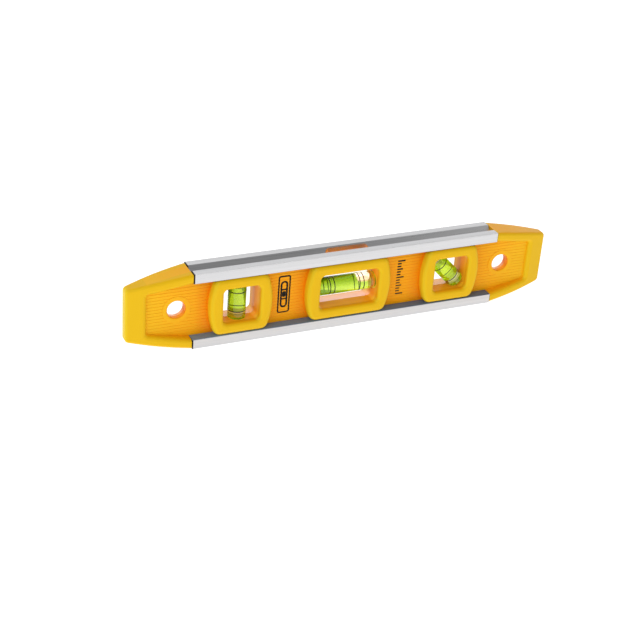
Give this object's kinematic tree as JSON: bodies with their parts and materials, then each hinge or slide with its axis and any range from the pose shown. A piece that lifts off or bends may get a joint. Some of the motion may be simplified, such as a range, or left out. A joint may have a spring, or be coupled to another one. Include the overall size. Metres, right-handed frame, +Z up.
{
  "type": "torpedo spirit level",
  "caption": "Short spirit level: ribbed plastic body with tapered ends, grooved aluminium rails, level, plumb and sloping vials, and holes to hang it by.",
  "frame": {"origin": "middle of the lower rail's outer face, on which the level stands", "axes": "+X along the level from the plumb vial to the sloping vial, +Y through its thickness from front to back, +Z up"},
  "size_m": [0.2286, 0.0158, 0.04],
  "materials": {
    "body_plastic": "satin",
    "rail_metal": "fine brushed",
    "magnet": "matte",
    "vial_clear": "clear",
    "plug_plastic": "satin",
    "ring_ink": "matte",
    "vial_liquid": "clear tinted",
    "air": "clear"
  },
  "bodies": {
    "level_body": {"shell_front": "body_plastic", "shell_rear": "body_plastic", "rail_top": "rail_metal", "rail_bottom": "rail_metal", "magnet_left": "magnet", "magnet_right": "magnet", "level_tube": "vial_clear", "level_plug": "plug_plastic", "level_rings": "ring_ink", "level_fluid": "vial_liquid", "plumb_tube": "vial_clear", "plumb_plug": "plug_plastic", "plumb_rings": "ring_ink", "plumb_fluid": "vial_liquid", "slope_tube": "vial_clear", "slope_plug": "plug_plastic", "slope_rings": "ring_ink", "slope_fluid": "vial_liquid"},
    "level_air": {"level_bubble": "air"},
    "plumb_air": {"plumb_bubble": "air"},
    "slope_air": {"slope_bubble": "air"}
  },
  "joints": [
    {"name": "level_bubble_slide", "type": "slide", "parent": "level_body", "child": "level_air", "axis": [1, 0, 0], "range_m": [-0.0215, 0], "deforming": ["level_fluid"]},
    {"name": "plumb_bubble_slide", "type": "slide", "parent": "level_body", "child": "plumb_air", "axis": [0, 0, 1], "range_m": [-0.0122, 0], "stiffness_N_per_m": 8, "deforming": ["plumb_fluid"]},
    {"name": "slope_bubble_slide", "type": "slide", "parent": "level_body", "child": "slope_air", "axis": [-0.7071, 0, 0.7071], "range_m": [-0.0093, 0], "stiffness_N_per_m": 8, "deforming": ["slope_fluid"]}
  ]
}
